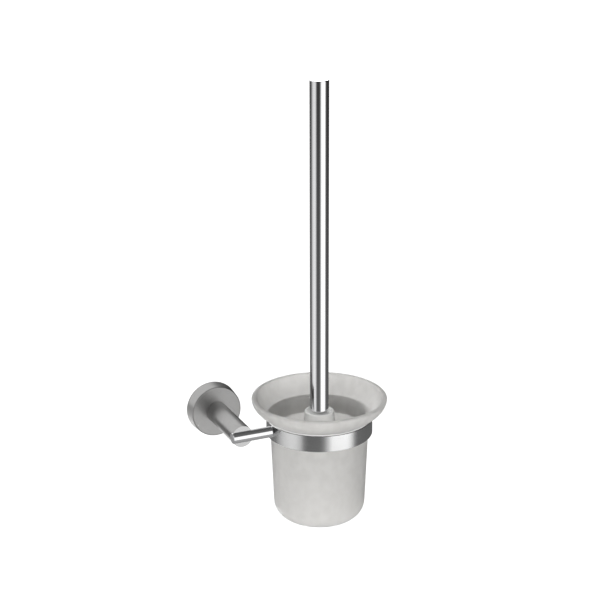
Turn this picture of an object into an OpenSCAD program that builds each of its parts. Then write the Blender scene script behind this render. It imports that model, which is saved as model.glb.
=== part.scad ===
// Wall-mounted toilet brush holder: rosette, arm, ring, frosted glass cup and brush.
// Millimetres. The origin is the centre of the face that lies on the wall.
// The wall is the plane y = 0, the holder stands out towards -Y, and +Z is up.

/* [Wall fixing] */
// Diameter of the rosette at the wall
rosette_d = 47.1; // [46:0.1:50]
// How far the rosette stands out from the wall
rosette_t = 13; // [12.8:0.1:16]
// Distance between the two wall screws
wall_screw_pitch = 28; // [26:1:29]
// Diameter of the holes for the wall screws
wall_screw_d = 4.6; // [4:0.1:5]

/* [Arm] */
// Diameter of the post
post_d = 18.9; // [17:0.1:20]
// Distance from the wall to the axis of the cup
cup_reach = 73.3; // [72:0.1:90]
// Sideways distance from the post's axis to the axis of the cup
cup_offset = 71.6; // [70:0.1:90]
// Diameter of the cross rod
rod_d = 9.6; // [8.6:0.1:10]

/* [Ring] */
// Outer diameter of the ring
ring_d = 91.8; // [91.7:0.1:93]
// Height of the ring
ring_h = 14.5; // [13:0.1:18]

/* [Glass] */
// Depth of the cup below the arm's axis
cup_drop = 86; // [84.8:0.1:95]
// Height of the rim above the arm's axis
rim_z = 25.1; // [25:0.1:28]
// Outer radius of the flared rim
rim_r = 58.3; // [57.5:0.1:60]
// Wall of the glass
glass_wall = 2.9; // [2.6:0.1:3]

/* [Brush] */
// Diameter of the handle tube
handle_d = 16; // [15.6:0.1:16.4]
// Height of the handle's top above the arm's axis
handle_top = 300; // [250:0.5:330]
// Radius over the side bristles
bristle_r = 35.8; // [34:0.1:36]

/* [Hidden] */
$fn = 96;
eps = 1;             // how far a cutter runs past the face it cuts
fit = 0.05;          // radial play between pieces that are screwed or pressed together
seam = 0.3;          // gap between pieces that lift apart

// Wall fixing
rosette_r = rosette_d / 2;
rosette_wall = 2.6;
rosette_front = 2.4;
rosette_edge = 1;    // radius of the front edge
rosette_taper = 0.85; // how much narrower it is in front
gasket_t = 0.8;
gasket_inset = 0.15; // how far the gasket's rim lies inside the rosette's
plate_r = rosette_r - rosette_wall - seam;
plate_t = 5.5;
plate_cone = 4.5;    // how much of the plate's thickness leans inwards
plate_undercut = 1.8;
grub_d = 4;
grub_y = -3;
grub_sink = 0.35;    // how far the screw sits inside the rosette's widest radius
grub_tip_d = 1.6;
grub_tip = 1.4;      // height of the cone tip
grub_len = rosette_wall + seam;
grub_socket_d = 2.2;
grub_socket = 1.4;   // depth of the socket

// Arm
post_r = post_d / 2;
rod_r = rod_d / 2;
post_bore = 5.5;
screw_d = 5;
screw_head_d = 9;
screw_head_t = 3.4;
screw_socket_d = 4.6;
screw_socket = 2;    // depth of the socket
washer_d = 9.2;
washer_t = 1.3;
washer_play = 0.4;   // how much wider its hole is than the screw
washer_gap = 1.4;    // the cut across the spring washer
arm_screw_bite = 6;  // how deep the arm screw goes into the rod
arm_screw_start = rosette_t - rosette_front - washer_t;
rod_bevel = 0.4;
drill_tip = 0.5;     // how much deeper than its screw a blind hole is

// Ring
ring_r = ring_d / 2;
ring_wall = 2.2;
ring_in = ring_r - ring_wall;
ring_bevel = 0.35;
ring_screw_d = 4;
ring_screw_head_d = 7.2;
ring_screw_head_t = 1.7;
ring_screw_len = 13;
ring_socket_d = 2.9;
ring_socket = 1.2;   // depth of the socket
liner_t = 0.55;
liner_lip = 1.1;     // height of the lip's outer edge
liner_rise = 0.5;    // how far the sleeve's lower edge lies above the ring's
liner_inset = 0.6;   // how far the lip's edge lies inside the ring's
liner_fit = 0.02;

// Glass
body_top_r = 42.8;   // outer radius under the flare
body_low_r = 39.8;   // outer radius where the rounded base begins
base_round = 15;
base_t = 5;
flare_z = ring_h / 2 + 0.3;
flare_pull_r = rim_r - 0.9; // control point of the flare's curve
flare_pull_z = 14.6;
lip_t = 4.6;         // thickness of the rim
lip_in_r = rim_r - lip_t;
lip_round = 1.7;
wall_in_r = body_top_r - glass_wall;
dish_r = wall_in_r + 3.2; // where the dish turns down into the throat
dish_z = flare_z + 1.6;
throat_z = flare_z - 9.5; // where the throat's inside becomes straight
curve_steps = 14;

// Brush
handle_r = handle_d / 2;
handle_wall = 1;
handle_foot = 2;     // height of the tube's lower end
cap_t = 1.2;
cap_bevel = 0.6;
cap_plug = 8;
cap_plug_wall = 1.35;
bush_len = 20;
stud_d = 8;
stud_top = handle_foot + 16;
stud_low = -24;
stud_bevel = 0.8;
collar_top = 12;
collar_r = 12.5;     // at its top edge
collar_edge = 0.6;   // rounding of that edge
collar_rim = 1.4;    // width of the rim round the dish
collar_dish = 2.1;   // depth of the dish
collar_skirt_r = 13.4;
collar_skirt = 7;    // height of the skirt below the taper
collar_low = -3;
core_r = 11;
core_low = -64;
disc_t = 4;
brush_low = base_t - cup_drop + seam;
brush_round = 10.5;
field_edge = 4;      // width of the slope at the tuft field's rim
field_fall = 3;      // height of that slope
tuft_rows = 8;
tufts_per_row = 14;
tuft_hole_r = 1.2;
tuft_hole_depth = 4;
anchor = [1.4, 2.1, 0.4]; // depth, width and thickness of a staple
tuft_top = -17.5;    // height of the highest row of tufts
tuft_pitch = 6.2;    // height between two rows
field_z = -12;       // height of the tuft field's highest edge

// A point on a quadratic curve through a and c that is drawn towards b
function curve_point(a, b, c, t) =
    (1 - t) * (1 - t) * a + 2 * t * (1 - t) * b + t * t * c;
function curve(a, b, c) =
    [for (i = [0 : curve_steps]) curve_point(a, b, c, i / curve_steps)];
// Part of a circle about a centre, from one angle to another
function arc(x, y, r, from, to) =
    [for (i = [0 : curve_steps])
        [x + r * cos(from + (to - from) * i / curve_steps),
         y + r * sin(from + (to - from) * i / curve_steps)]];

module at_wall(y) translate([0, y, 0]) rotate([90, 0, 0]) children();
module at_cup(z) translate([cup_offset, -cup_reach, z]) children();

// Disc screwed to the wall. Its rim leans inwards towards the wall, so that the grub screw
// pulls the rosette tight.
module wall_plate() color("silver")
difference() {
    at_wall(0) union() {
        cylinder(h = plate_cone, r1 = plate_r - plate_undercut, r2 = plate_r);
        translate([0, 0, plate_cone]) cylinder(h = plate_t - plate_cone, r = plate_r);
    }
    for (side = [-1, 1])
        translate([side * wall_screw_pitch / 2, eps, 0]) rotate([90, 0, 0])
            cylinder(h = plate_t + 2 * eps, d = wall_screw_d);
}

// Thin soft ring between the rosette's rear edge and the wall
module wall_gasket() color("dimgray")
difference() {
    at_wall(0) cylinder(h = gasket_t, r = rosette_r - gasket_inset);
    at_wall(eps) cylinder(h = gasket_t + 2 * eps, r = rosette_r - rosette_wall);
}

// Hollow cover over the wall plate, slightly tapered, with a rounded front edge
module rosette() color("lightgray")
difference() {
    at_wall(0) rotate_extrude() polygon(concat(
        [[0, gasket_t], [rosette_r, gasket_t]],
        arc(rosette_r - rosette_taper - rosette_edge, rosette_t - rosette_edge, rosette_edge, 4, 90),
        [[0, rosette_t]]
    ));
    at_wall(eps) cylinder(h = rosette_t - rosette_front + eps, r = rosette_r - rosette_wall);
    at_wall(0) cylinder(h = rosette_t + eps, d = post_bore);
    translate([0, grub_y, -rosette_r - eps])
        cylinder(h = rosette_wall + 2 * eps, d = grub_d + 2 * fit);
}

// Grub screw in the underside of the rosette, with a hexagon socket and a cone tip
module rosette_set_screw() color("dimgray")
translate([0, grub_y, -rosette_r + grub_sink])
difference() {
    union() {
        cylinder(h = grub_len - grub_tip, d = grub_d);
        translate([0, 0, grub_len - grub_tip]) cylinder(h = grub_tip, d1 = grub_d, d2 = grub_tip_d);
    }
    translate([0, 0, -eps]) cylinder(h = eps + grub_socket, d = grub_socket_d, $fn = 6);
}

// Bar from the rosette to the cup's plane, with a groove across its end for the rod
module post() color("gainsboro")
difference() {
    at_wall(-rosette_t) cylinder(h = cup_reach - rosette_t, r = post_r);
    at_wall(0) cylinder(h = cup_reach + eps, d = post_bore);
    translate([-post_r - eps, -cup_reach, 0]) rotate([0, 90, 0])
        cylinder(h = 2 * (post_r + eps), r = rod_r + fit);
}

// Spring washer: a flat ring, cut through
module arm_washer() color("gray")
at_wall(-arm_screw_start)
difference() {
    cylinder(h = washer_t, d = washer_d);
    translate([0, 0, -eps]) cylinder(h = washer_t + 2 * eps, d = screw_d + washer_play);
    translate([0, -washer_gap / 2, -eps]) cube([washer_d, washer_gap, washer_t + 2 * eps]);
}

// Long cap screw from inside the rosette, through the post, into the back of the rod
module arm_screw() color("gray")
at_wall(screw_head_t - arm_screw_start)
difference() {
    union() {
        cylinder(h = screw_head_t, d = screw_head_d);
        translate([0, 0, screw_head_t])
            cylinder(h = cup_reach - rod_r + arm_screw_bite - arm_screw_start, d = screw_d);
    }
    translate([0, 0, -eps]) cylinder(h = eps + screw_socket, d = screw_socket_d, $fn = 6);
}

// Rod that lies half in the post's end and runs to the ring, hollowed to sit against it
module cross_rod() color("white")
difference() {
    translate([-post_r, -cup_reach, 0]) rotate([0, 90, 0]) union() {
        cylinder(h = rod_bevel, r1 = rod_r - rod_bevel, r2 = rod_r);
        translate([0, 0, rod_bevel])
            cylinder(h = post_r + cup_offset - ring_in - rod_bevel, r = rod_r);
    }
    at_cup(-ring_h / 2) cylinder(h = ring_h, r = ring_r + fit);
    translate([0, rod_r - arm_screw_bite - drill_tip - cup_reach, 0]) rotate([-90, 0, 0])
        cylinder(h = arm_screw_bite + drill_tip + eps, d = screw_d + 2 * fit);
    translate([cup_offset - ring_in - ring_screw_len - eps, -cup_reach, 0]) rotate([0, 90, 0])
        cylinder(h = ring_screw_len + 2 * eps, d = ring_screw_d + 2 * fit);
}

// Flat band round the cup, with a countersunk hole for its screw
module ring() color("lightgray")
difference() {
    at_cup(-ring_h / 2) union() {
        cylinder(h = ring_bevel, r1 = ring_r - ring_bevel, r2 = ring_r);
        translate([0, 0, ring_bevel]) cylinder(h = ring_h - 2 * ring_bevel, r = ring_r);
        translate([0, 0, ring_h - ring_bevel])
            cylinder(h = ring_bevel, r1 = ring_r, r2 = ring_r - ring_bevel);
    }
    at_cup(-ring_h / 2 - eps) cylinder(h = ring_h + 2 * eps, r = ring_in);
    translate([cup_offset - ring_r - eps, -cup_reach, 0]) rotate([0, 90, 0])
        cylinder(h = ring_wall + 2 * eps, d = ring_screw_d + 2 * fit);
    translate([cup_offset - ring_in - ring_screw_head_t, -cup_reach, 0]) rotate([0, 90, 0])
        cylinder(
            h = ring_screw_head_t + fit,
            d1 = ring_screw_d + 2 * fit, d2 = ring_screw_head_d + 4 * fit);
}

// Countersunk screw from inside the ring into the end of the rod
module ring_screw() color("gray")
translate([cup_offset - ring_in - ring_screw_len, -cup_reach, 0]) rotate([0, 90, 0])
difference() {
    union() {
        cylinder(h = ring_screw_len - ring_screw_head_t, d = ring_screw_d);
        translate([0, 0, ring_screw_len - ring_screw_head_t])
            cylinder(h = ring_screw_head_t, d1 = ring_screw_d, d2 = ring_screw_head_d);
    }
    translate([0, 0, ring_screw_len - ring_socket])
        cylinder(h = ring_socket + eps, d = ring_socket_d, $fn = 6);
}

// Soft sleeve in the ring, with a lip over the ring's top edge that the flare rests on
module ring_liner() color("whitesmoke")
at_cup(0) rotate_extrude()
polygon([
    [ring_in - liner_t, liner_rise - ring_h / 2],
    [ring_in - liner_fit, liner_rise - ring_h / 2],
    [ring_in - liner_fit, ring_h / 2 + liner_fit],
    [ring_r - liner_inset, ring_h / 2 + liner_fit],
    [ring_r - liner_inset, ring_h / 2 + liner_lip],
    [ring_in - liner_t, ring_h / 2 + 5 * liner_fit]
]);

// Frosted cup: slightly tapered body, round base, flared rim with a rounded lip
module glass_cup() color([0.85, 0.87, 0.86, 0.6])
at_cup(0) rotate_extrude() polygon(glass_outline());

function glass_outline() = concat(
    [[0, -cup_drop]],
    arc(body_low_r - base_round, base_round - cup_drop, base_round, -90, 0),
    [[body_top_r, flare_z - 2]],
    curve([body_top_r + 0.3, flare_z], [flare_pull_r, flare_pull_z], [rim_r, rim_z - lip_round]),
    arc(rim_r - lip_round, rim_z - lip_round, lip_round, 10, 90),
    arc(lip_in_r + lip_round, rim_z - lip_round, lip_round, 90, 160),
    curve([lip_in_r - 0.4, rim_z - 4], [rim_r - 7.5, 13.5], [dish_r, dish_z]),
    curve([dish_r, dish_z], [wall_in_r, dish_z - 1.7], [wall_in_r, throat_z]),
    arc(body_low_r - base_round, base_round - cup_drop, base_round - glass_wall, 0, -70),
    [[0, base_t - cup_drop]]
);

// Tube of the handle
module handle_tube() color("silver")
at_cup(handle_foot) difference() {
    cylinder(h = handle_top - cap_t - handle_foot, r = handle_r);
    translate([0, 0, -eps])
        cylinder(h = handle_top - handle_foot + eps, r = handle_r - handle_wall);
}

// Flat cap with a hollow plug in the tube's top end
module handle_cap() color("silver")
at_cup(handle_top - cap_t) difference() {
    union() {
        cylinder(h = cap_t - cap_bevel, r = handle_r);
        translate([0, 0, cap_t - cap_bevel])
            cylinder(h = cap_bevel, r1 = handle_r, r2 = handle_r - cap_bevel);
        translate([0, 0, -cap_plug]) cylinder(h = cap_plug, r = handle_r - handle_wall - fit);
    }
    translate([0, 0, -cap_plug - eps])
        cylinder(h = cap_plug, r = handle_r - handle_wall - fit - cap_plug_wall);
}

// Threaded bush in the tube's lower end
module handle_bush() color("darkkhaki")
at_cup(handle_foot) difference() {
    cylinder(h = bush_len, r = handle_r - handle_wall - fit);
    translate([0, 0, -eps]) cylinder(h = bush_len + 2 * eps, d = stud_d + 2 * fit);
}

// Threaded stud moulded into the head
module head_stud() color("silver")
at_cup(stud_low) union() {
    cylinder(h = stud_top - stud_low - stud_bevel, d = stud_d);
    translate([0, 0, stud_top - stud_low - stud_bevel])
        cylinder(h = stud_bevel, d1 = stud_d, d2 = stud_d - 2 * stud_bevel);
}

// White head: a dished collar that takes the handle's foot, and the core for the tufts
module head_core() color("white")
difference() {
    at_cup(0) rotate_extrude() polygon(core_outline());
    at_cup(stud_low - fit) cylinder(h = stud_top - stud_low, d = stud_d + 2 * fit);
    at_cup(0) each_tuft()
        translate([core_r - tuft_hole_depth, 0, 0]) rotate([0, 90, 0])
            cylinder(h = tuft_hole_depth + eps, r = tuft_hole_r);
}

function core_outline() = concat(
    [[0, core_low]],
    [[core_r, core_low]],
    [[core_r, collar_low - 1.5]],
    [[collar_skirt_r - 0.5, collar_low]],
    [[collar_skirt_r, collar_low + 0.5]],
    [[collar_skirt_r, collar_low + collar_skirt]],
    arc(collar_r - collar_edge, collar_top - collar_edge, collar_edge, 5, 90),
    [[collar_r - collar_rim, collar_top]],
    [[collar_r - collar_rim - 0.7, collar_top - 0.6 * collar_dish]],
    [[handle_r + fit, collar_top - collar_dish]],
    [[handle_r + fit, handle_foot - fit]],
    [[0, handle_foot - fit]]
);

// The tufts' places: rings of tufts, each ring turned half a step from the last
module each_tuft()
for (row = [0 : tuft_rows - 1])
    for (i = [0 : tufts_per_row - 1])
        translate([0, 0, tuft_top - row * tuft_pitch])
            rotate([0, 0, (i + 0.5 * (row % 2)) * 360 / tufts_per_row])
                children();

// Disc that closes the core's lower end and carries the end tufts
module end_disc() color("white")
at_cup(core_low - disc_t) cylinder(h = disc_t, r = core_r);

// Staples at the bottom of the tufts' holes
module bristle_anchors() color("goldenrod")
at_cup(0) each_tuft()
    translate([core_r - tuft_hole_depth + 0.1, -anchor.y / 2, -anchor.z / 2])
        cube(anchor);

// Outer shape of the side tufts, which leave a sloping field round the collar
module side_bristles() color("snow")
at_cup(0) rotate_extrude() polygon(concat(
    [[core_r + fit, core_low]],
    [[bristle_r, core_low]],
    [[bristle_r, field_z - field_fall]],
    [[bristle_r - field_edge, field_z]],
    [[core_r + fit, field_z - 1]]
));

// Outer shape of the end tufts, rounded like the cup's base
module end_bristles() color("snow")
at_cup(0) difference() {
    rotate_extrude() polygon(concat(
        [[0, brush_low]],
        arc(bristle_r - brush_round, brush_low + brush_round, brush_round, -90, 0),
        [[bristle_r, core_low - fit]],
        [[0, core_low - fit]]
    ));
    translate([0, 0, core_low - disc_t - fit]) cylinder(h = disc_t + eps, r = core_r + fit);
}

wall_plate();
wall_gasket();
rosette();
rosette_set_screw();
post();
arm_screw();
arm_washer();
cross_rod();
ring();
ring_screw();
ring_liner();
glass_cup();
handle_tube();
handle_cap();
handle_bush();
head_stud();
head_core();
end_disc();
bristle_anchors();
side_bristles();
end_bristles();
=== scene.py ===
import math
import random

import bpy
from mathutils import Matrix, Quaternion, Vector


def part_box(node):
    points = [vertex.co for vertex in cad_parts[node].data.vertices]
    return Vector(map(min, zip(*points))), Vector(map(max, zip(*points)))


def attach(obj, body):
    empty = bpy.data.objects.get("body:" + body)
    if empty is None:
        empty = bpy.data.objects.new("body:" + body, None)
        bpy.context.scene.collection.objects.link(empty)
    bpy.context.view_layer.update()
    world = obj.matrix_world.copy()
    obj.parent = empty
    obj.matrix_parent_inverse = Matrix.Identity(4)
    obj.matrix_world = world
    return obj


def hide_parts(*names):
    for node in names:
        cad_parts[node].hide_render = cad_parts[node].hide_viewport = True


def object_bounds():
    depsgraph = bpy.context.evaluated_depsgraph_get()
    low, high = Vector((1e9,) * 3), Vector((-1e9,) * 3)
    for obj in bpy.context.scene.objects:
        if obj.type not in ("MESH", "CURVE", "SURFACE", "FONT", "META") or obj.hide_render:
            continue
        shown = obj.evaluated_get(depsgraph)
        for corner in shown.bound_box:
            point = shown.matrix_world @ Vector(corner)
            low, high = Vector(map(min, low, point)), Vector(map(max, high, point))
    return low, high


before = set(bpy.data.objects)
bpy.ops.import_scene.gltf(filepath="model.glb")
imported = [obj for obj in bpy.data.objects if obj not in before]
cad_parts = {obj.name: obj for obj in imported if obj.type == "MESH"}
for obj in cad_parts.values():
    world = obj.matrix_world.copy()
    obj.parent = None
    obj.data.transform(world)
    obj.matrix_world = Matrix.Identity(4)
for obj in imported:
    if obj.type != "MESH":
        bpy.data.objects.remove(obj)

# ---------------------------------------------------------------- places, from the CAD frame

CAD_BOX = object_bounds()
RING_LOW, RING_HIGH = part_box("ring")
GLASS_LOW, GLASS_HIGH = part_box("glass_cup")
CORE_LOW, CORE_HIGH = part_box("head_core")
SIDE_LOW, SIDE_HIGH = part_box("side_bristles")
END_LOW, END_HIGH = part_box("end_bristles")

MM = 0.001
AXIS_X = (RING_LOW.x + RING_HIGH.x) / 2      # the upright axis of ring, glass and brush
AXIS_Y = (RING_LOW.y + RING_HIGH.y) / 2
RIM_R = (GLASS_HIGH.x - GLASS_LOW.x) / 2
BRISTLE_R = (SIDE_HIGH.x - SIDE_LOW.x) / 2


# ---------------------------------------------------------------- mesh helpers

def link(obj):
    bpy.context.scene.collection.objects.link(obj)
    return obj


def mesh_object(name, verts, faces, material, smooth=True):
    """A new mesh object with one material."""
    mesh = bpy.data.meshes.new(name)
    mesh.from_pydata(verts, [], faces)
    mesh.polygons.foreach_set("use_smooth", [smooth] * len(mesh.polygons))
    mesh.materials.append(material)
    mesh.validate()
    return link(bpy.data.objects.new(name, mesh))


def revolve(name, outline, material, segments=160):
    """Turns a closed (radius, height) outline round the upright axis. Points at radius 0 become one."""
    verts, rings = [], []
    for radius, height in outline:
        if radius < 1e-7:
            rings.append([len(verts)])
            verts.append((AXIS_X, AXIS_Y, height))
            continue
        ring = []
        for i in range(segments):
            a = 2 * math.pi * i / segments
            ring.append(len(verts))
            verts.append((AXIS_X + radius * math.cos(a), AXIS_Y + radius * math.sin(a), height))
        rings.append(ring)
    faces = []
    for low, high in zip(rings, rings[1:]):
        for i in range(segments):
            j = (i + 1) % segments
            if len(low) == 1 and len(high) == 1:
                continue
            if len(low) == 1:
                faces.append((low[0], high[j], high[i]))
            elif len(high) == 1:
                faces.append((low[i], low[j], high[0]))
            else:
                faces.append((low[i], low[j], high[j], high[i]))
    return mesh_object(name, verts, faces, material)


def curve_points(a, b, c, steps):
    """Points of the quadratic curve from a to c that is drawn towards b."""
    points = []
    for i in range(steps + 1):
        t = i / steps
        points.append(tuple((1 - t) ** 2 * p + 2 * t * (1 - t) * q + t * t * r
                            for p, q, r in zip(a, b, c)))
    return points


def arc_points(x, y, radius, start, end, steps):
    points = []
    for i in range(steps + 1):
        a = math.radians(start + (end - start) * i / steps)
        points.append((x + radius * math.cos(a), y + radius * math.sin(a)))
    return points


# ---------------------------------------------------------------- material helpers

def math_node(tree, operation, *inputs):
    """A maths node in a node tree. Each input is a number or another node's output."""
    node = tree.nodes.new("ShaderNodeMath")
    node.operation = operation
    for socket, value in zip(node.inputs, inputs):
        if isinstance(value, (int, float)):
            socket.default_value = value
        else:
            tree.links.new(value, socket)
    return node.outputs[0]


class Shader:
    """A node material whose Principled shader is ready to be linked to."""

    def __init__(self, name, **values):
        self.material = bpy.data.materials.new(name)
        self.material.use_nodes = True
        self.nodes = self.material.node_tree.nodes
        self.links = self.material.node_tree.links
        self.bsdf = self.nodes["Principled BSDF"]
        for socket, value in values.items():
            self.bsdf.inputs[socket.replace("_", " ")].default_value = value

    def add(self, kind, **settings):
        node = self.nodes.new(kind)
        for key, value in settings.items():
            setattr(node, key, value)
        return node

    def place(self, scale, centre=(0, 0, 0)):
        """Object coordinates about a centre, stretched by scale (1/m)."""
        coords = self.add("ShaderNodeTexCoord")
        shift = self.add("ShaderNodeVectorMath", operation="SUBTRACT")
        self.links.new(coords.outputs["Object"], shift.inputs[0])
        shift.inputs[1].default_value = centre
        stretch = self.add("ShaderNodeVectorMath", operation="MULTIPLY")
        self.links.new(shift.outputs[0], stretch.inputs[0])
        stretch.inputs[1].default_value = scale
        return stretch.outputs[0]

    def math(self, operation, *inputs):
        return math_node(self.material.node_tree, operation, *inputs)

    def noise(self, vector, detail=3.0, rough=0.5):
        """Soft noise; the vector brings its own scale."""
        node = self.add("ShaderNodeTexNoise")
        self.links.new(vector, node.inputs["Vector"])
        node.inputs["Scale"].default_value = 1.0
        node.inputs["Detail"].default_value = detail
        node.inputs["Roughness"].default_value = rough
        return node.outputs["Fac"]

    def spread(self, value, low, high, from_low=0.3, from_high=0.7):
        """Maps a noise value onto low..high."""
        node = self.add("ShaderNodeMapRange")
        self.links.new(value, node.inputs["Value"])
        node.inputs["From Min"].default_value = from_low
        node.inputs["From Max"].default_value = from_high
        node.inputs["To Min"].default_value = low
        node.inputs["To Max"].default_value = high
        return node.outputs["Result"]

    def tint(self, value, dark, light):
        """Two colours mixed by a value."""
        node = self.add("ShaderNodeMix", data_type="RGBA")
        self.links.new(value, node.inputs["Factor"])
        node.inputs[6].default_value = (*dark, 1)
        node.inputs[7].default_value = (*light, 1)
        return node.outputs[2]

    def axis_of(self, source, axis):
        """One axis of the object's coordinates ("Object") or of its surface normal ("Normal")."""
        coords = self.add("ShaderNodeTexCoord")
        split = self.add("ShaderNodeSeparateXYZ")
        self.links.new(coords.outputs[source], split.inputs[0])
        return split.outputs[axis]

    def blend(self, mask, first, second):
        """first where the mask is 0, second where it is 1. Each is an output, a number or a colour."""
        colour = isinstance(second, tuple)
        node = self.add("ShaderNodeMix", data_type="RGBA" if colour else "FLOAT")
        self.links.new(mask, node.inputs[0])
        a = 6 if colour else 2      # the mix node's first socket of this data type
        for socket, value in ((node.inputs[a], first), (node.inputs[a + 1], second)):
            if isinstance(value, tuple):
                socket.default_value = (*value, 1)
            elif isinstance(value, (int, float)):
                socket.default_value = value
            else:
                self.links.new(value, socket)
        return node.outputs[2 if colour else 0]

    def bump(self, height, distance, strength):
        node = self.add("ShaderNodeBump")
        node.inputs["Distance"].default_value = distance
        node.inputs["Strength"].default_value = strength
        self.links.new(height, node.inputs["Height"])
        self.links.new(node.outputs["Normal"], self.bsdf.inputs["Normal"])

    def drive(self, output, socket):
        self.links.new(output, self.bsdf.inputs[socket])


def paint(node, shader):
    """Gives a CAD node its material."""
    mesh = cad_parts[node].data
    mesh.materials.clear()
    mesh.materials.append(shader.material)


# ---------------------------------------------------------------- materials

def polished_steel(name, stretch, centre, satin_end=False):
    """Bright steel with hair-fine polishing lines and a trace of smears. The flat end of a rod
    along X can be satin."""
    s = Shader(name, Metallic=1.0, Roughness=0.1)
    grain = s.noise(s.place(stretch, centre), detail=4, rough=0.6)
    smears = s.noise(s.place((40, 40, 25), centre), detail=2)
    rough = s.spread(smears, 0.075, 0.135)
    if satin_end:
        end = s.spread(s.axis_of("Normal", "X"), 0, 1, -0.8, -0.95)
        rough = s.blend(end, rough, 0.42)
    s.drive(rough, "Roughness")
    s.drive(s.tint(grain, (0.80, 0.80, 0.81), (0.90, 0.90, 0.91)), "Base Color")
    s.bump(grain, 0.004 * MM, 0.5)
    return s


def brushed_steel(name, stretch, centre):
    """Steel brushed along the directions in which stretch is small."""
    s = Shader(name, Metallic=1.0, Roughness=0.3)
    lines = s.noise(s.place(stretch, centre), detail=5, rough=0.65)
    clouds = s.noise(s.place((60, 60, 60), centre), detail=2)
    s.drive(s.spread(lines, 0.12, 0.20), "Roughness")
    both = s.math("MULTIPLY_ADD", clouds, 0.35, lines)
    s.drive(s.tint(s.spread(both, 0, 1, 0.4, 0.95), (0.74,) * 3, (0.88,) * 3), "Base Color")
    s.bump(lines, 0.012 * MM, 0.6)
    return s


def turned_satin(name, polished_y=None):
    """Satin steel turned round the post's axis: rings on the flat faces, hoops on the round ones."""
    s = Shader(name, Metallic=0.85, Roughness=0.36)
    fine, slow = 5200, 90       # turning lines per metre, and how slowly they change along their way
    radius = s.add("ShaderNodeVectorMath", operation="LENGTH")
    s.links.new(s.place((1, 0, 1)), radius.inputs[0])
    across = s.math("MULTIPLY_ADD", radius.outputs["Value"], fine,
                    s.math("MULTIPLY", s.axis_of("Object", "Y"), fine))
    join = s.add("ShaderNodeCombineXYZ")
    s.links.new(across, join.inputs[0])
    s.links.new(s.math("MULTIPLY", s.axis_of("Object", "X"), slow), join.inputs[1])
    s.links.new(s.math("MULTIPLY", s.axis_of("Object", "Z"), slow), join.inputs[2])
    lines = s.noise(join.outputs[0], detail=4, rough=0.6)
    clouds = s.noise(s.place((80, 80, 80)), detail=3)
    rough = s.spread(lines, 0.27, 0.37)
    tone = s.tint(clouds, (0.38, 0.377, 0.372), (0.45, 0.447, 0.442))
    if polished_y is None:
        s.drive(rough, "Roughness")
        s.drive(tone, "Base Color")
    else:
        # the flat end, which lies further out than polished_y and faces -Y, is polished bright
        outside = s.math("LESS_THAN", s.axis_of("Object", "Y"), polished_y)
        facing = s.spread(s.axis_of("Normal", "Y"), 0, 1, -0.8, -0.95)
        end = s.math("MULTIPLY", outside, facing)
        s.drive(s.blend(end, rough, 0.2), "Roughness")
        s.drive(s.blend(end, tone, (0.57, 0.57, 0.57)), "Base Color")
        s.drive(s.blend(end, 0.85, 1.0), "Metallic")
    s.bump(lines, 0.01 * MM, 0.5)
    return s


def frosted_glass():
    """Acid-etched clear glass: a fine even frost with slight clouds, partly see-through and partly
    plain white, so that it stays pale."""
    s = Shader("frosted_glass", Roughness=0.4, IOR=1.5, Transmission_Weight=0.6)
    clouds = s.noise(s.place((150, 150, 105)), detail=1.5, rough=0.5)
    frost = s.noise(s.place((2600, 2600, 2600)), detail=2)
    s.drive(s.spread(clouds, 0.36, 0.46), "Roughness")
    # painted shade: the glass is darker just under the ring, where the ring shades it, and a little paler
    # towards the base
    ring_shade_fade = s.spread(s.axis_of("Object", "Z"), 0, 1, RING_LOW.z, RING_LOW.z - 45 * MM)
    above = s.spread(clouds, 0.05, 0.55, 0.35, 0.65)
    below = s.spread(clouds, 0.55, 1, 0.35, 0.65)
    pale = s.blend(ring_shade_fade, above, below)
    s.drive(s.tint(pale, (0.84, 0.83, 0.81), (0.99, 0.98, 0.96)), "Base Color")
    s.bump(frost, 0.015 * MM, 0.4)
    return s


def white_plastic():
    s = Shader("white_plastic", Roughness=0.38, IOR=1.48, Subsurface_Weight=0.15)
    s.bsdf.inputs["Subsurface Radius"].default_value = (0.002, 0.002, 0.002)
    clouds = s.noise(s.place((120, 120, 120)), detail=3)
    grain = s.noise(s.place((1500, 1500, 1500)), detail=2)
    s.drive(s.spread(clouds, 0.32, 0.44), "Roughness")
    s.drive(s.tint(clouds, (0.86, 0.86, 0.84), (0.90, 0.90, 0.885)), "Base Color")
    s.bump(grain, 0.01 * MM, 0.5)
    return s


def soft_plastic():
    """Milky plastic of the seat between ring and glass."""
    s = Shader("seat_plastic", Roughness=0.4, IOR=1.45, Transmission_Weight=0.25)
    clouds = s.noise(s.place((200, 200, 200)), detail=2)
    s.drive(s.spread(clouds, 0.35, 0.5), "Roughness")
    s.drive(s.tint(clouds, (0.86, 0.86, 0.85), (0.92, 0.92, 0.91)), "Base Color")
    return s


def nylon():
    """Bristle filament: plain pale grey, a little darker from tuft to tuft."""
    s = Shader("bristle_nylon", Roughness=0.4, IOR=1.5)
    clouds = s.noise(s.place((300, 300, 300)), detail=2)
    s.drive(s.spread(clouds, 0.3, 0.5), "Roughness")
    s.drive(s.tint(clouds, (0.72, 0.72, 0.70), (0.84, 0.84, 0.83)), "Base Color")
    return s


def plated(name, dark, light):
    """Plated or bare small metal parts."""
    s = Shader(name, Metallic=1.0, Roughness=0.35)
    grain = s.noise(s.place((900, 900, 900)), detail=4)
    s.drive(s.spread(grain, 0.25, 0.4), "Roughness")
    s.drive(s.tint(grain, dark, light), "Base Color")
    s.bump(grain, 0.01 * MM, 0.4)
    return s


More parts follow.
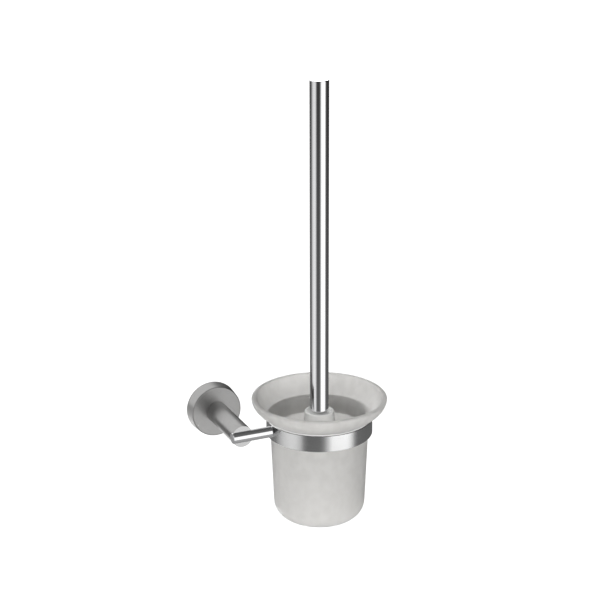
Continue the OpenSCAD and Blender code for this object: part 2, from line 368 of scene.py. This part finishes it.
def shadow_gap_rubber():
    s = Shader("gasket_shadow_gap", Roughness=0.7)
    grain = s.noise(s.place((2000, 2000, 2000)), detail=3)
    # painted shadow: the gasket is made near black so that it stands in for the dark shadow line of the gap
    # at the rosette's rear edge; the grain is only its own faint tone
    s.drive(s.tint(grain, (0.03, 0.03, 0.032), (0.07, 0.07, 0.072)), "Base Color")
    s.bump(grain, 0.02 * MM, 0.6)
    return s


# ---------------------------------------------------------------- the glass

def glass_outline():
    """Closed outline of the cup: outside from the base up, over the rim, then inside down."""
    low, high = GLASS_LOW.z, GLASS_HIGH.z
    top_r, low_r = RIM_R - 15.5 * MM, RIM_R - 18.5 * MM
    wall, base = 2.9 * MM, 5 * MM
    bend = 15 * MM
    lip = 1.7 * MM
    flare_z = RING_HIGH.z + 0.3 * MM
    outline = [(0, low), (low_r - bend - 4 * MM, low)]
    outline += arc_points(low_r - bend, low + bend, bend, -90, 0, 20)
    for i in range(1, 9):
        t = i / 9
        outline.append((low_r + (top_r - low_r) * t, low + bend + (flare_z - 2 * MM - low - bend) * t))
    outline += curve_points((top_r, flare_z - 2 * MM), (top_r, flare_z - 0.6 * MM),
                            (top_r + 1.0 * MM, flare_z + 0.4 * MM), 4)
    outline += curve_points((top_r + 1.0 * MM, flare_z + 0.4 * MM), (RIM_R - 0.9 * MM, 14.6 * MM),
                            (RIM_R, high - lip), 24)[1:]
    outline += arc_points(RIM_R - lip, high - lip, lip, 10, 90, 7)
    outline += arc_points(RIM_R - 4.6 * MM + lip, high - lip, lip, 90, 165, 7)
    dish_top = (RIM_R - 5.0 * MM, high - 4 * MM)
    dish_low = (top_r - wall + 4.6 * MM, flare_z + 2.0 * MM)
    throat = (top_r - wall, flare_z - 12 * MM)
    outline += curve_points(dish_top, (RIM_R - 7.5 * MM, 14.0 * MM), dish_low, 20)
    outline += curve_points(dish_low, (top_r - wall, dish_low[1] - 2.4 * MM), throat, 20)[1:]
    inner_bend = bend - wall
    for i in range(1, 9):
        t = i / 9
        outline.append((throat[0] + (low_r - top_r) * t, throat[1] + (low + bend - throat[1]) * t))
    outline += arc_points(low_r - bend, low + bend, inner_bend, 0, -68, 16)
    outline += [(low_r - bend - 6 * MM, low + base - 0.45 * MM), (0, low + base)]
    return outline


# ---------------------------------------------------------------- bristles

class Tufts:
    """Collects filaments as thin tapered four-sided rods in one mesh."""

    SIDES = 4
    STEPS = 3

    def __init__(self, seed):
        self.random = random.Random(seed)
        self.verts = []
        self.faces = []

    def filament(self, root, tip, sag, thick):
        """One filament from root to tip, bowed by sag."""
        along = (tip - root).normalized()
        side = along.orthogonal().normalized()
        other = along.cross(side)
        first = len(self.verts)
        for step in range(self.STEPS + 1):
            t = step / self.STEPS
            centre = root.lerp(tip, t) + sag * (t * t)
            radius = thick * (1 - 0.25 * t)
            for k in range(self.SIDES):
                a = 2 * math.pi * k / self.SIDES
                self.verts.append(centre + (side * math.cos(a) + other * math.sin(a)) * radius)
        for step in range(self.STEPS):
            for k in range(self.SIDES):
                a = first + step * self.SIDES + k
                b = first + step * self.SIDES + (k + 1) % self.SIDES
                self.faces.append((a, b, b + self.SIDES, a + self.SIDES))
        last = first + self.STEPS * self.SIDES
        self.faces.append(tuple(last + k for k in range(self.SIDES)))
        self.faces.append(tuple(first + k for k in reversed(range(self.SIDES))))

    def tuft(self, root, direction, length, count, root_r, tip_r, thick, limit):
        """A bundle that opens from root_r to tip_r; limit pulls a tip back into the CAD solid."""
        direction = direction.normalized()
        side = direction.orthogonal().normalized()
        other = direction.cross(side)
        for _ in range(count):
            a = self.random.uniform(0, 2 * math.pi)
            r = math.sqrt(self.random.random())
            across = side * math.cos(a) + other * math.sin(a)
            start = root + across * (r * root_r)
            end = root + direction * (length * self.random.uniform(0.95, 1.0)) + across * (r * tip_r)
            end = limit(end)
            droop = Vector((0, 0, -self.random.uniform(0, 0.6) * MM))
            self.filament(start, end, droop, thick)

    def build(self, name, material):
        return mesh_object(name, [tuple(v) for v in self.verts], self.faces, material)


def in_brush(point):
    """Pulls a point back inside the outer shape of the bristles."""
    margin = 0.4 * MM
    bend = 10.5 * MM
    axis = Vector((AXIS_X, AXIS_Y, 0))
    flat = Vector((point.x, point.y, 0)) - axis
    radius = min(flat.length, BRISTLE_R - margin)
    low = END_LOW.z + margin + 0.6 * MM
    height = min(max(point.z, low), SIDE_HIGH.z - margin)
    corner = END_LOW.z + bend
    if height < corner and radius > BRISTLE_R - bend:
        across = Vector((radius - (BRISTLE_R - bend), height - corner))
        if across.length > bend - margin:
            across = across.normalized() * (bend - margin)
            radius, height = BRISTLE_R - bend + across.x, corner + across.y
    flat = flat.normalized() * radius if flat.length > 1e-9 else flat
    return Vector((axis.x + flat.x, axis.y + flat.y, height))


ROWS = 8
PER_ROW = 14
TOP_ROW = -17.5 * MM
ROW_PITCH = 6.2 * MM


def side_tufts(material):
    """Rings of tufts round the core, each ring turned half a step from the last."""
    tufts = Tufts(7)
    for row in range(ROWS):
        height = TOP_ROW - row * ROW_PITCH
        lift = 0.16 * (1 - 2 * row / (ROWS - 1))
        for i in range(PER_ROW):
            a = (i + 0.5 * (row % 2)) * 2 * math.pi / PER_ROW
            out = Vector((math.cos(a), math.sin(a), 0))
            root = Vector((AXIS_X, AXIS_Y, height)) + out * 8.2 * MM
            direction = out + Vector((0, 0, lift))
            tufts.tuft(root, direction, BRISTLE_R - 8.0 * MM, 40, 0.9 * MM, 3.6 * MM, 0.2 * MM, in_brush)
    return tufts.build("side_tufts", material)


def end_tufts(material):
    """Tufts fanned out below the end disc."""
    tufts = Tufts(11)
    disc_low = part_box("end_disc")[0].z
    axis = Vector((AXIS_X, AXIS_Y, 0))
    for radius, count, tilt, length in ((0, 1, 0, 12), (4.2, 7, 22, 14), (8.4, 12, 50, 26)):
        for i in range(count):
            a = 2 * math.pi * i / count
            out = Vector((math.cos(a), math.sin(a), 0))
            root = axis + out * radius * MM + Vector((0, 0, disc_low + 0.5 * MM))
            lean = math.radians(tilt)
            direction = out * math.sin(lean) + Vector((0, 0, -math.cos(lean)))
            tufts.tuft(root, direction, length * MM, 44, 0.9 * MM, 4.5 * MM, 0.2 * MM, in_brush)
    return tufts.build("end_tufts", material)


# ---------------------------------------------------------------- stage

FLOOR_Z = CAD_BOX[0].z - 0.35
CAMERA_AIM = Vector((0.0380, -0.1091, 0.1282))
CAMERA_DISTANCE = 1.3
CAMERA_TURN = 23.825    # degrees to the left of the wall's normal
CAMERA_PITCH = 18.76    # degrees above the horizon
CAMERA_ROLL = -0.231    # degrees about its own axis


def make_camera():
    data = bpy.data.cameras.new("camera")
    data.lens = 96
    data.sensor_width = 36
    camera = link(bpy.data.objects.new("camera", data))
    turn, pitch = math.radians(CAMERA_TURN), math.radians(CAMERA_PITCH)
    back = Vector((-math.sin(turn) * math.cos(pitch), -math.cos(turn) * math.cos(pitch), math.sin(pitch)))
    camera.location = CAMERA_AIM + back * CAMERA_DISTANCE
    camera.rotation_mode = "QUATERNION"
    roll = Quaternion((0, 0, 1), math.radians(CAMERA_ROLL))
    camera.rotation_quaternion = (-back).to_track_quat("-Z", "Y") @ roll
    bpy.context.scene.camera = camera


def make_floor():
    s = Shader("floor", Roughness=0.9)
    s.bsdf.inputs["Base Color"].default_value = (0.5, 0.5, 0.5, 1)
    s.bsdf.inputs["Emission Color"].default_value = (1, 1, 1, 1)
    s.bsdf.inputs["Emission Strength"].default_value = PLAIN
    half = 30
    corners = [(-half, -half, FLOOR_Z), (half, -half, FLOOR_Z), (half, half, FLOOR_Z), (-half, half, FLOOR_Z)]
    floor = mesh_object("floor", corners, [(0, 1, 2, 3)], s.material)
    floor.visible_glossy = False
    floor.visible_diffuse = False
    floor.visible_shadow = False


# The light tent seen by the object. Each stop of a turn is (degrees right of the -Y direction,
# brightness), and each stop of a height is (degrees above the horizon, brightness).
BOX_TURNS = (
    (-180, 0.03), (-140, 0.03), (-132, 0.10), (-122, 0.38),
    (-106, 0.70), (-90, 0.84), (-76, 0.80), (-66, 0.60), (-58, 0.14), (-50, 0.03),
    (-24, 0.03), (-15, 0.14), (-6, 0.62), (3, 1.25), (38, 1.3), (48, 0.95), (58, 0.2),
    (66, 0.03), (120, 0.015), (180, 0.03),
)
BOX_HEIGHTS = ((-29, 0.05), (-23, 1), (26, 1), (36, 0.1), (60, 0.05))

# The panels behind the object, mostly for the edges of the round satin pieces. They leave a gap
# where the handle's left edge looks.
PANEL_TURNS = ((-180, 1), (-138, 1), (-126, 0), (140, 0), (152, 0.25), (162, 1), (180, 1))
PANEL_HEIGHTS = ((-46, 0), (-40, 1.1), (-33, 1.1), (-28, 0.04), (-7, 0.04), (0, 1.1), (50, 1.1), (66, 0))

# Light from below and above, the same all round.
GROUND_HEIGHTS = ((-90, 0.32), (-34, 0.32), (-22, 0.09), (-9, 0.0), (40, 0.02), (75, 0.12))

PLAIN = 0.98    # brightness of the floor and of the background behind the object


def make_tent():
    """World light: tall soft boxes left and right of the camera, with dark gaps between them."""
    world = bpy.data.worlds.new("tent")
    bpy.context.scene.world = world
    world.use_nodes = True
    tree = world.node_tree
    nodes, links = tree.nodes, tree.links
    background = nodes["Background"]

    def ramp(value, stops, span):
        """Brightness over a turn or a height that spans this many degrees, with 0 in its middle."""
        node = nodes.new("ShaderNodeValToRGB")
        links.new(value, node.inputs[0])
        elements = node.color_ramp.elements
        while len(elements) < len(stops):
            elements.new(0.5)
        for element, (degrees, level) in zip(elements, stops):
            element.position = degrees / span + 0.5
            element.color = (level, level, level, 1)
        return node.outputs[0]

    coords = nodes.new("ShaderNodeTexCoord")
    split = nodes.new("ShaderNodeSeparateXYZ")
    links.new(coords.outputs["Generated"], split.inputs[0])
    x, y, z = split.outputs
    turn = math_node(tree, "ARCTAN2", x, math_node(tree, "MULTIPLY", y, -1.0))
    turn = math_node(tree, "MULTIPLY_ADD", turn, 0.5 / math.pi, 0.5)
    height = math_node(tree, "ARCSINE", z)
    height = math_node(tree, "MULTIPLY_ADD", height, 1 / math.pi, 0.5)

    boxes = math_node(tree, "MULTIPLY", ramp(turn, BOX_TURNS, 360), ramp(height, BOX_HEIGHTS, 180))
    panels = math_node(tree, "MULTIPLY", ramp(turn, PANEL_TURNS, 360), ramp(height, PANEL_HEIGHTS, 180))
    light = math_node(tree, "ADD", boxes, ramp(height, GROUND_HEIGHTS, 180))
    light = math_node(tree, "ADD", panels, light)
    # the tent is only seen in reflections: behind the object the view stays plain and pale
    seen = nodes.new("ShaderNodeMix")
    seen.data_type = "FLOAT"
    links.new(nodes.new("ShaderNodeLightPath").outputs["Is Camera Ray"], seen.inputs[0])
    links.new(light, seen.inputs[2])
    seen.inputs[3].default_value = PLAIN
    links.new(seen.outputs[0], background.inputs["Color"])
    background.inputs["Strength"].default_value = 1.0


def soft_box(name, turn, height, distance, size, power, only=None):
    """A round soft box aimed at the cup, turn degrees right of the -Y direction and height above it.
    With only, the box lights that one node and shows in its reflections. The others light everything
    and show in no reflection, because the tent draws those."""
    data = bpy.data.lights.new(name, "AREA")
    data.shape = "DISK"
    data.size = size
    data.energy = power
    turn, height = math.radians(turn), math.radians(height)
    away = Vector((math.sin(turn) * math.cos(height), -math.cos(turn) * math.cos(height), math.sin(height)))
    lamp = link(bpy.data.objects.new(name, data))
    lamp.location = Vector((AXIS_X, AXIS_Y, 0)) + away * distance
    lamp.rotation_mode = "QUATERNION"
    lamp.rotation_quaternion = away.to_track_quat("Z", "Y")
    lamp.visible_camera = False
    lamp.visible_glossy = only is not None
    if only is not None:
        lit = bpy.data.collections.new(name + "_lit")
        lit.objects.link(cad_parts[only])
        lamp.light_linking.receiver_collection = lit


# ---------------------------------------------------------------- building

def dress_cad():
    axis = (AXIS_X, AXIS_Y, 0)
    handle = polished_steel("handle_steel", (30, 30, 2500), axis)
    rod = polished_steel("rod_steel", (2500, 30, 30), (0, AXIS_Y, 0), satin_end=True)
    band = brushed_steel("ring_steel", (25, 25, 5200), axis)
    satin = turned_satin("satin_steel")
    post = turned_satin("post_steel", polished_y=AXIS_Y + 0.5 * MM)
    zinc = plated("zinc_steel", (0.50, 0.51, 0.53), (0.64, 0.65, 0.67))
    brass = plated("brass", (0.66, 0.52, 0.26), (0.78, 0.64, 0.36))
    # the gasket's near black is painted shadow for the gap behind the rosette
    gasket = shadow_gap_rubber()
    plastic = white_plastic()
    seat = soft_plastic()
    finishes = {
        "handle_tube": handle, "handle_cap": handle, "cross_rod": rod, "ring": band,
        "rosette": satin, "post": post, "wall_gasket": gasket, "wall_plate": zinc, "rosette_set_screw": zinc,
        "arm_screw": zinc, "arm_washer": zinc, "ring_screw": zinc, "head_stud": zinc,
        "handle_bush": brass, "bristle_anchors": brass, "head_core": plastic,
        "end_disc": plastic, "ring_liner": seat,
    }
    for node, shader in finishes.items():
        paint(node, shader)
    for node in ("ring", "ring_liner"):
        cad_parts[node].visible_glossy = False


def make_glass():
    glass = revolve("glass_body", glass_outline(), frosted_glass().material)
    glass.visible_glossy = False
    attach(glass, "glass")
    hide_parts("glass_cup")


def make_bristles():
    material = nylon().material
    for piece, node in ((side_tufts(material), "side_bristles"), (end_tufts(material), "end_bristles")):
        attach(piece, "brush")
        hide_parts(node)
        piece.visible_glossy = False


bpy.context.scene.view_settings.view_transform = "Standard"
make_camera()
make_floor()
make_tent()
soft_box("overhead", turn=16, height=74, distance=1.35, size=1.0, power=2.5)
soft_box("front", turn=-34, height=-4, distance=1.95, size=2.2, power=30)
soft_box("collar_fill", turn=-20, height=42, distance=1.2, size=0.8, power=5, only="head_core")
soft_box("rim_fill", turn=-165, height=-12, distance=2.0, size=1.2, power=4.2, only="rosette")
soft_box("cap_glint", turn=156.5, height=18.2, distance=2.0, size=0.5, power=5, only="handle_cap")
dress_cad()
make_glass()
make_bristles()
